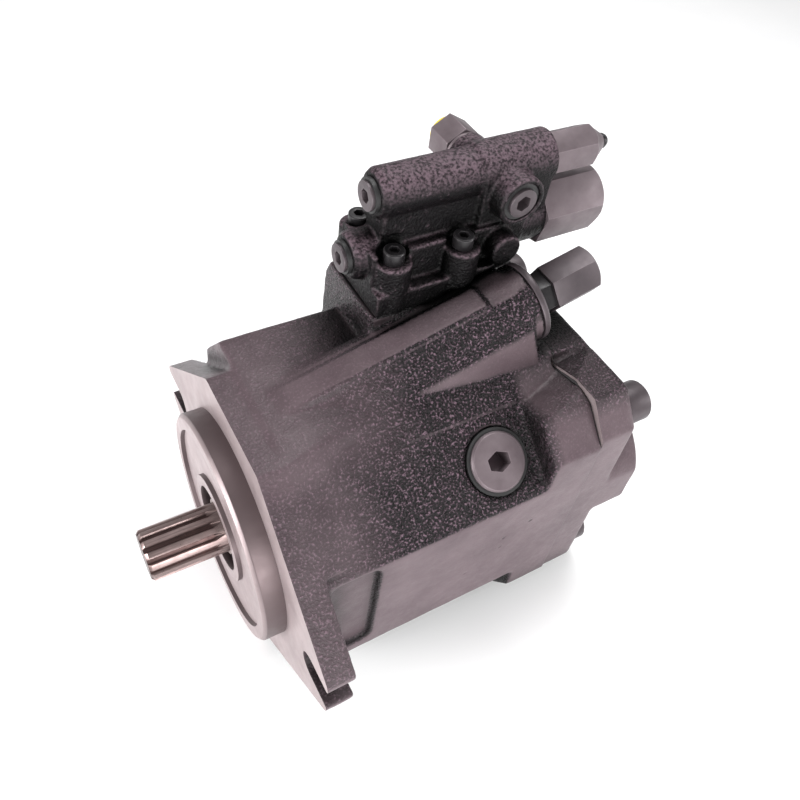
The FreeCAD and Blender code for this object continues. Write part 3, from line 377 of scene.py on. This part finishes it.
def ground_steel():
    s = Shader("bearing_steel")
    coloured = s.two_tone(s.noise(120, 3), (0.52, 0.52, 0.54), (0.66, 0.66, 0.68))
    return s.set(base_color=coloured, roughness=s.varied(s.noise(700, 3), 0.12, 0.22), metallic=1.0,
                 normal=s.relief(s.noise(3500, 2), 0.01 * MM, 0.3))


def spring_steel():
    s = Shader("spring_steel")
    coloured = s.two_tone(s.noise(260, 3), (0.17, 0.16, 0.17), (0.33, 0.32, 0.34))
    return s.set(base_color=coloured, roughness=s.varied(s.noise(900, 2), 0.24, 0.38), metallic=0.9)


def bronze():
    s = Shader("bronze")
    coloured = s.two_tone(s.noise(130, 4), (0.50, 0.30, 0.11), (0.66, 0.43, 0.18))
    return s.set(base_color=coloured, roughness=s.varied(s.noise(500, 3), 0.22, 0.36), metallic=0.95,
                 normal=s.relief(s.noise(2600, 2), 0.01 * MM, 0.4))


def turned_iron():
    s = Shader("block_iron")
    coloured = s.two_tone(s.noise(110, 4), (0.24, 0.235, 0.245), (0.36, 0.355, 0.365))
    return s.set(base_color=coloured, roughness=s.varied(s.noise(420, 3), 0.30, 0.45), metallic=0.85,
                 normal=s.relief(s.noise(2000, 3), 0.02 * MM, 0.4))


def yellow_plastic():
    s = Shader("yellow_plastic")
    coloured = s.two_tone(s.noise(140, 3), (0.62, 0.47, 0.020), (0.76, 0.60, 0.045))
    return s.set(base_color=coloured, roughness=s.varied(s.noise(380, 3), 0.28, 0.42),
                 subsurface_weight=0.08, normal=s.relief(s.noise(1600, 2), 0.03 * MM, 0.4))


def pale_floor():
    s = Shader("pale_floor")
    coloured = s.two_tone(s.noise(9, 3), (0.93, 0.93, 0.935), (0.96, 0.96, 0.96))
    return s.set(base_color=coloured, roughness=s.varied(s.noise(40, 2), 0.75, 0.85))


FINISH = {
    "cast_paint": cast_paint(),
    "machined_steel": phosphated_steel("machined_steel", *PALE_STEEL),
    "spline_steel": spline_steel(),
    "black_steel": black_oxide(),
    "seal_rubber": rubber(),
    "gasket_sheet": gasket_sheet(),
    "bearing_steel": ground_steel(),
    "spring_steel": spring_steel(),
    "bronze": bronze(),
    "block_iron": turned_iron(),
    "yellow_plastic": yellow_plastic(),
}
MACHINED = machined_face()
VALVE_PAINT = valve_paint()
DULL_STEEL = phosphated_steel("dull_steel", *DARK_STEEL)


# ---- meshes --------------------------------------------------------------------------------------
WELD = 0.001 * MM
CUT_TOLERANCE = 1e-7
ON_PLANE = 0.02 * MM
BEVELLED_ABOVE = math.radians(28)
SHARP_ABOVE = math.radians(32)


def cad_mesh(node):
    """The node's own mesh, welded, as a bmesh."""
    mesh = bmesh.new()
    mesh.from_mesh(frame["nodes"][node].data)
    bmesh.ops.remove_doubles(mesh, verts=mesh.verts, dist=WELD)
    bmesh.ops.dissolve_degenerate(mesh, edges=mesh.edges, dist=WELD)
    return mesh


def slice_off(mesh, point, normal, cap_slot=None):
    """Removes what lies beyond a plane; with a slot given, closes the cut with a flat face."""
    geometry = mesh.verts[:] + mesh.edges[:] + mesh.faces[:]
    cut = bmesh.ops.bisect_plane(mesh, geom=geometry, dist=CUT_TOLERANCE, plane_co=point, plane_no=normal,
                                 clear_outer=True)
    edges = [item for item in cut["geom_cut"] if isinstance(item, bmesh.types.BMEdge)]
    rim = [edge for edge in edges if edge.is_valid and len(edge.link_faces) == 1]
    if cap_slot is None or not rim:
        return
    filled = bmesh.ops.triangle_fill(mesh, edges=rim, use_beauty=True, normal=normal)
    for face in filled["geom"]:
        if isinstance(face, bmesh.types.BMFace):
            face.material_index = cap_slot
            face.smooth = False
            if face.normal.dot(normal) < 0:
                face.normal_flip()


def stretch(mesh, point, normal, distance):
    """Carries the flat end at a plane outwards, so that smoothing doesn't round the real edge."""
    for vertex in mesh.verts:
        if abs((vertex.co - point).dot(normal)) < ON_PLANE:
            vertex.co += normal * distance


def add_hull(mesh, points):
    """Adds the convex body about some points (mm); the casting's remesh merges it in."""
    corners = [mesh.verts.new(Vector(point) * MM) for point in points]
    hull = bmesh.ops.convex_hull(mesh, input=corners)
    bmesh.ops.delete(mesh, geom=hull["geom_unused"] + hull["geom_interior"], context="VERTS")


def to_object(mesh, name, material):
    data = bpy.data.meshes.new(name)
    for face in mesh.faces:
        face.smooth = face.material_index == 0
    mesh.to_mesh(data)
    mesh.free()
    piece = bpy.data.objects.new(name, data)
    bpy.context.collection.objects.link(piece)
    data.materials.append(material)
    return piece


def baked(piece):
    """Applies the piece's modifiers."""
    graph = bpy.context.evaluated_depsgraph_get()
    data = bpy.data.meshes.new_from_object(piece.evaluated_get(graph))
    piece.modifiers.clear()
    piece.data = data


def break_edges(piece, width):
    """Gives a turned or milled piece small rounded edges between crisp faces."""
    edge = piece.modifiers.new("broken_edges", "BEVEL")
    edge.width = width
    edge.segments = 2
    edge.limit_method = "ANGLE"
    edge.angle_limit = BEVELLED_ABOVE
    edge.use_clamp_overlap = True
    baked(piece)
    piece.data.polygons.foreach_set("use_smooth", [True] * len(piece.data.polygons))
    piece.data.set_sharp_from_angle(angle=SHARP_ABOVE)


def settle(piece, node):
    """Rides the piece on the node's body, in the node's place."""
    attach(piece, BODY_OF[node])
    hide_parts(node)


# ---- castings ------------------------------------------------------------------------------------
AHEAD = Vector((-1, 0, 0))
BEHIND = Vector((1, 0, 0))
BELOW = Vector((0, 0, -1))
VOXEL = 0.85 * MM
SMOOTHING_ROUNDS = 12
SMOOTHING_FACTOR = 0.6
VALVE_VOXEL_SHARE = 0.6
TRIM = 0.05 * MM               # how far inside its machined planes a casting is cut before it is stretched
OVERRUN = 5 * MM
LUMP_SIZE = 9 * MM
LUMP_DEPTH = 0.3 * MM
PILOT_FROM_X = -0.02 * MM
PILOT_EDGE = 0.25 * MM

# casting radius between the flange's flank, the flat top and the drain plug's slope, mm
FLANGE_CORNER = [(11, -25.5, 64.6), (34, -22.4, 60.8), (11, -13, 65.9), (44, -13, 65.9), (50, -19, 62.4),
                 (11, -25.5, 54), (34, -22.4, 54), (11, -13, 54), (50, -13, 54)]


def roughened(piece, name, voxel):
    """Rounds the piece all over and makes it slightly uneven, as sand casting does."""
    remesh = piece.modifiers.new("cast", "REMESH")
    remesh.mode = "VOXEL"
    remesh.voxel_size = voxel
    remesh.adaptivity = 0.0
    smooth = piece.modifiers.new("soften", "SMOOTH")
    smooth.factor = SMOOTHING_FACTOR
    smooth.iterations = SMOOTHING_ROUNDS
    lumps = bpy.data.textures.new(name + "_lumps", "CLOUDS")
    lumps.noise_scale = LUMP_SIZE
    lumps.noise_depth = 2
    uneven = piece.modifiers.new("uneven", "DISPLACE")
    uneven.texture = lumps
    uneven.texture_coords = "LOCAL"
    uneven.mid_level = 0.5
    uneven.strength = LUMP_DEPTH
    baked(piece)


def cast_piece(node, name, paint, voxel, planes, fills=()):
    """Sand-cast copy of a node: rounded all over, then cut flat again at its machined planes."""
    mesh = cad_mesh(node)
    for point, normal in planes:
        slice_off(mesh, point - normal * TRIM, normal, 0)
        stretch(mesh, point - normal * TRIM, normal, OVERRUN)
    for points in fills:
        add_hull(mesh, points)
    piece = to_object(mesh, name, paint)
    roughened(piece, name, voxel)
    piece.data.materials.clear()
    piece.data.materials.append(paint)
    piece.data.materials.append(MACHINED)
    mesh = bmesh.new()
    mesh.from_mesh(piece.data)
    for point, normal in planes:
        slice_off(mesh, point, normal, 1)
    for face in mesh.faces:
        face.smooth = face.material_index == 0
    mesh.to_mesh(piece.data)
    mesh.free()
    settle(piece, node)


def pilot_ring():
    """The turned pilot in front of the flange face, kept crisp."""
    mesh = cad_mesh("pump_housing")
    slice_off(mesh, Vector((PILOT_FROM_X, 0, 0)), BEHIND)
    piece = to_object(mesh, "pilot", MACHINED)
    break_edges(piece, PILOT_EDGE)
    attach(piece, BODY_OF["pump_housing"])


def build_castings():
    cast_piece("pump_housing", "housing_casting", FINISH["cast_paint"], VOXEL,
               [(Vector((FLANGE_FACE_X, 0, 0)), AHEAD), (Vector((HOUSING_REAR_X, 0, 0)), BEHIND)],
               [FLANGE_CORNER])
    pilot_ring()
    cast_piece("port_plate", "port_plate_casting", FINISH["cast_paint"], VOXEL,
               [(Vector((PLATE_FRONT_X, 0, 0)), AHEAD), (Vector((PORT_FACE_X, 0, 0)), BEHIND)])
    cast_piece("valve_body", "valve_casting", VALVE_PAINT, VOXEL * VALVE_VOXEL_SHARE,
               [(Vector((VALVE_REAR_X, 0, 0)), BEHIND), (Vector((0, 0, VALVE_BASE_Z)), BELOW)])


# ---- machined parts ------------------------------------------------------------------------------
EDGE_WIDTH = {  # mm
    "drive_shaft": 0.12,
    "upper_drain_plug": 0.25,
    "lower_drain_plug": 0.25,
    "stroking_bore_cap": 0.3,
    "stop_lock_nut": 0.25,
    "stop_cap_nut": 0.3,
    "flow_adjuster_sleeve": 0.3,
    "flow_adjusting_screw": 0.3,
    "pressure_adjuster_cap": 0.35,
    "flow_spool_plug": 0.2,
    "pressure_spool_plug": 0.2,
    "side_port_plug": 0.2,
    "signal_port_fitting": 0.3,
    "signal_port_cap": 0.3,
    "port_plate_screws": 0.3,
    "valve_screws": 0.2,
}
DULL = ("stroking_bore_cap", "stop_cap_nut", "port_plate_screws", "side_port_plug", "flow_spool_plug",
        "pressure_spool_plug")


def crisp_piece(node, width, material):
    """Machined copy of a node with small broken edges."""
    piece = to_object(cad_mesh(node), node + "_finished", material)
    break_edges(piece, width)
    settle(piece, node)


def finish_machined_parts():
    for node, width in EDGE_WIDTH.items():
        crisp_piece(node, width * MM, DULL_STEEL if node in DULL else FINISH[SLOT_OF[node]])
    for node, cad in frame["nodes"].items():
        cad.data.materials.clear()
        cad.data.materials.append(FINISH[SLOT_OF[node]])


# ---- studio --------------------------------------------------------------------------------------
CAMERA_TARGET = Vector((0.0749, 0.0004, 0.0430))
CAMERA_PLACE = Vector((-0.0537, -0.1733, 0.2923))
CAMERA_ROLL = math.radians(9.5)
CAMERA_LENS = 34.86            # mm
SENSOR_WIDTH = 36.0            # mm
NEAREST_SEEN = 0.01

# each lamp's place from the object's centre, its size, and its power in watts
LAMPS = {
    "key": ((-0.10, -0.75, 0.10), (0.45, 0.45), 5.5),
    "front": ((-0.85, 0.0, 0.15), (0.4, 0.6), 11.0),
    "top": ((0.35, 0.30, 0.85), (0.5, 0.5), 6.5),
    "rear": ((0.75, -0.45, 0.30), (0.35, 0.4), 3.0),
}
WORLD_COLOUR = (1.0, 1.0, 1.0, 1.0)
WORLD_STRENGTH = 0.5
FLOOR_REACH = 4.0
FLOOR_GAP = 0.2 * MM


def place_camera():
    data = bpy.data.cameras.new("camera")
    data.lens = CAMERA_LENS
    data.sensor_width = SENSOR_WIDTH
    data.clip_start = NEAREST_SEEN
    camera = bpy.data.objects.new("camera", data)
    bpy.context.collection.objects.link(camera)
    towards = (CAMERA_TARGET - CAMERA_PLACE).to_track_quat("-Z", "Y").to_matrix().to_4x4()
    camera.matrix_world = Matrix.Translation(CAMERA_PLACE) @ towards @ Matrix.Rotation(CAMERA_ROLL, 4, "Z")
    bpy.context.scene.camera = camera


def area_light(name, place, aim, size, power):
    data = bpy.data.lights.new(name, "AREA")
    data.shape = "RECTANGLE"
    data.size, data.size_y = size
    data.energy = power
    lamp = bpy.data.objects.new(name, data)
    bpy.context.collection.objects.link(lamp)
    aimed = (aim - place).to_track_quat("-Z", "Y")
    lamp.matrix_world = Matrix.Translation(place) @ aimed.to_matrix().to_4x4()


def build_studio():
    centre = (CAD_LOW + CAD_HIGH) / 2
    for name, (offset, size, power) in LAMPS.items():
        area_light(name, centre + Vector(offset), centre, size, power)
    world = bpy.data.worlds.new("studio")
    world.use_nodes = True
    background = world.node_tree.nodes["Background"]
    background.inputs["Color"].default_value = WORLD_COLOUR
    background.inputs["Strength"].default_value = WORLD_STRENGTH
    bpy.context.scene.world = world
    mesh = bmesh.new()
    bmesh.ops.create_grid(mesh, x_segments=8, y_segments=8, size=FLOOR_REACH)
    floor = to_object(mesh, "floor", pale_floor())
    floor.location.z = CAD_LOW.z - FLOOR_GAP
    bpy.context.scene.view_settings.view_transform = "Standard"


place_camera()
build_castings()
finish_machined_parts()
build_studio()
